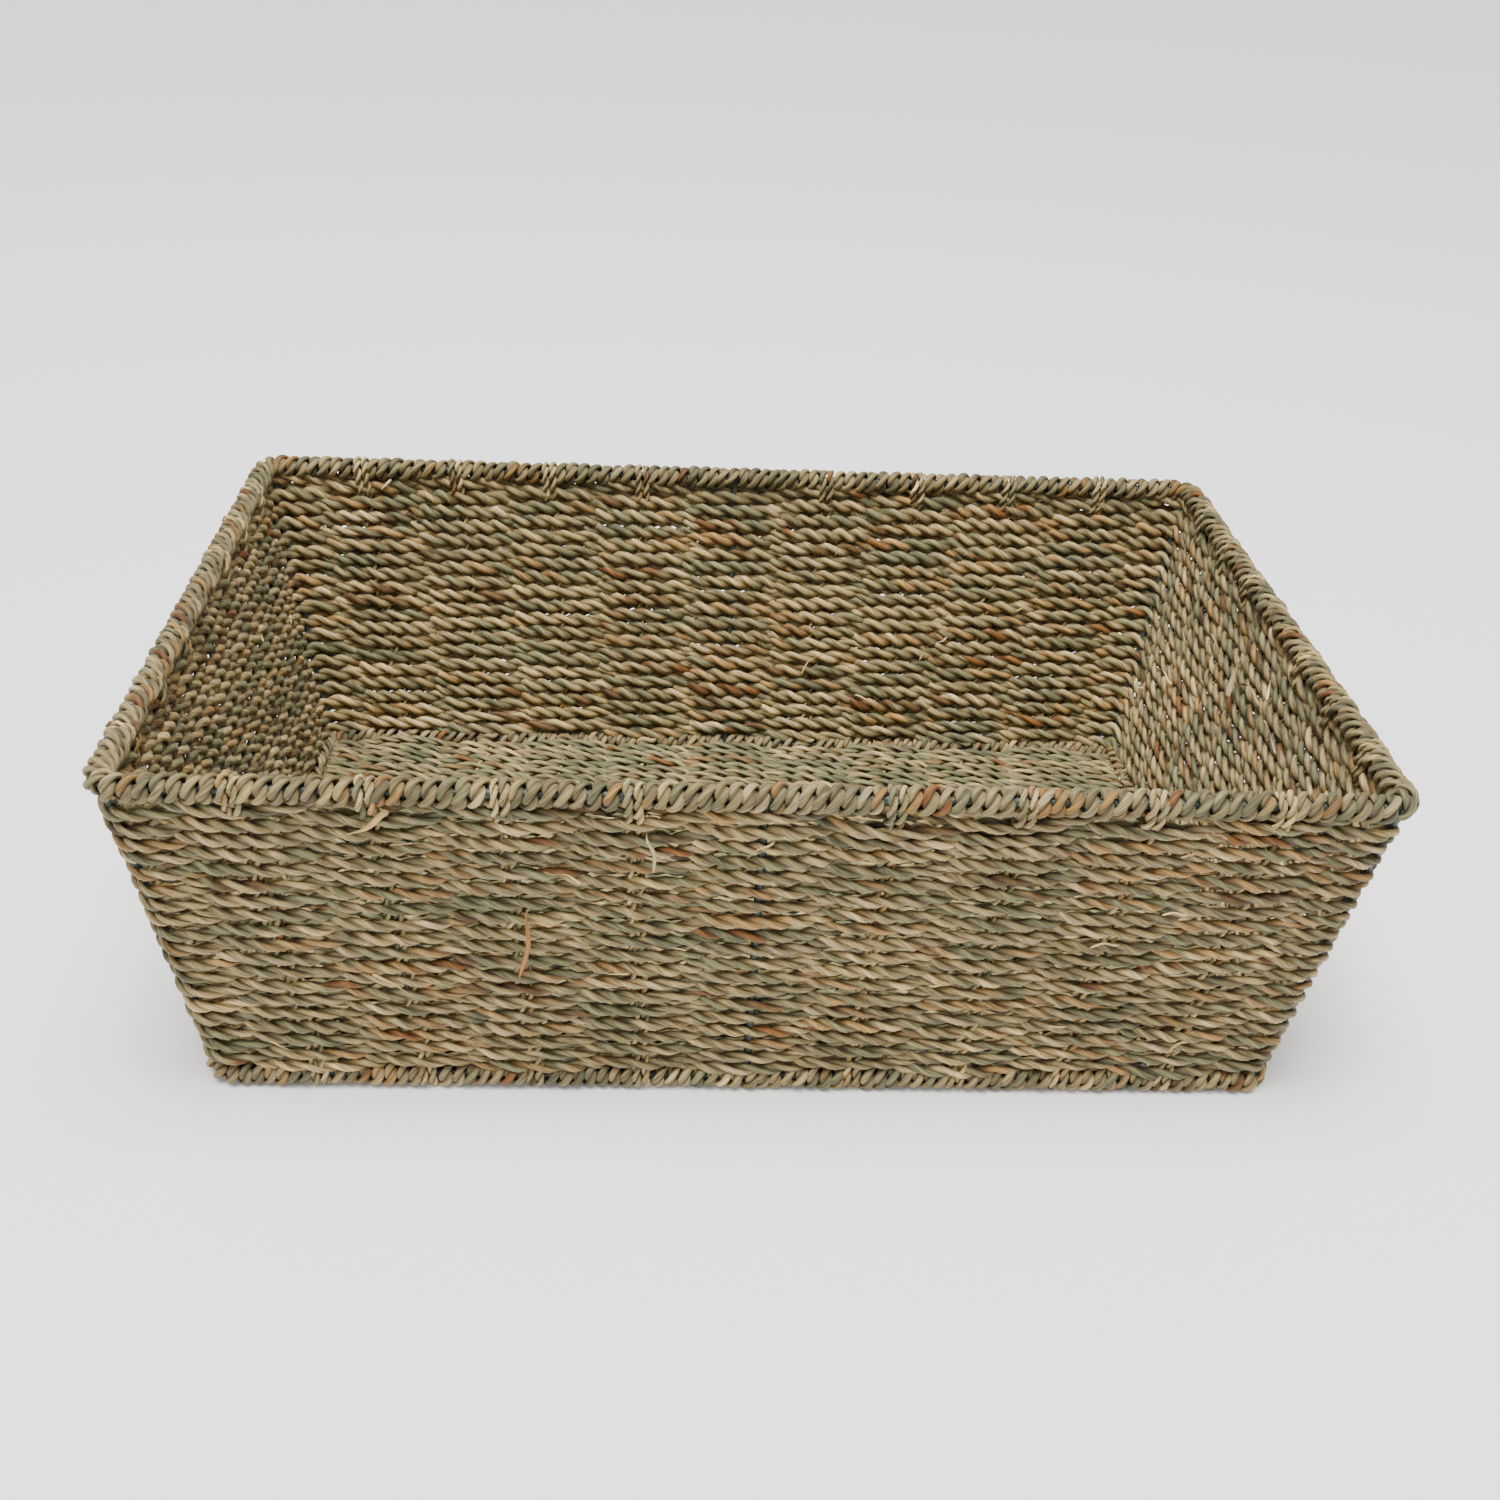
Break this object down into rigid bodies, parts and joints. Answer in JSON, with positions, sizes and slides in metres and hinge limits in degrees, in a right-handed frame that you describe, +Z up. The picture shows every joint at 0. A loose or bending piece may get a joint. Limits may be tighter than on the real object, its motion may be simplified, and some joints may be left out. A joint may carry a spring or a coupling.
{
  "type": "seagrass storage basket",
  "caption": "Open rectangular storage basket of woven seagrass cord on a wire frame, with outward-leaning walls and cord-bound rim and base.",
  "frame": {"origin": "centre of the rectangle that the basket stands on, on the surface below it", "axes": "+X along the length, +Y from the front wall to the back wall, +Z up out of the opening"},
  "size_m": [0.5004, 0.3434, 0.16],
  "materials": {
    "frame_wire": "satin, dark grey-green paint on steel wire",
    "stake_cord": "dry twisted seagrass cord",
    "wall_weave": "dry two-ply seagrass cord, green-grey and straw, with orange-brown flecks",
    "floor_weave": "dry two-ply seagrass cord, greener than the walls",
    "rim_binding": "dry two-ply seagrass cord, straw coloured",
    "base_binding": "dry two-ply seagrass cord"
  },
  "bodies": {
    "root": {"rim_wire": "frame_wire", "base_wire": "frame_wire", "floor_bar": "frame_wire", "centre_post_front": "frame_wire", "centre_post_right": "frame_wire", "centre_post_back": "frame_wire", "centre_post_left": "frame_wire", "corner_post_front_left": "frame_wire", "corner_post_front_right": "frame_wire", "corner_post_back_right": "frame_wire", "corner_post_back_left": "frame_wire", "cross_stake_1": "stake_cord", "cross_stake_2": "stake_cord", "cross_stake_3": "stake_cord", "cross_stake_4": "stake_cord", "cross_stake_6": "stake_cord", "cross_stake_7": "stake_cord", "cross_stake_8": "stake_cord", "cross_stake_9": "stake_cord", "right_stake_1": "stake_cord", "right_stake_2": "stake_cord", "right_stake_3": "stake_cord", "right_stake_5": "stake_cord", "right_stake_6": "stake_cord", "right_stake_7": "stake_cord", "left_stake_1": "stake_cord", "left_stake_2": "stake_cord", "left_stake_3": "stake_cord", "left_stake_5": "stake_cord", "left_stake_6": "stake_cord", "left_stake_7": "stake_cord", "weave_front": "wall_weave", "weave_right": "wall_weave", "weave_back": "wall_weave", "weave_left": "wall_weave", "weave_floor": "floor_weave", "rim_binding_front": "rim_binding", "rim_binding_right": "rim_binding", "rim_binding_back": "rim_binding", "rim_binding_left": "rim_binding", "base_binding_front": "base_binding", "base_binding_right": "base_binding", "base_binding_back": "base_binding", "base_binding_left": "base_binding"}
  },
  "joints": []
}
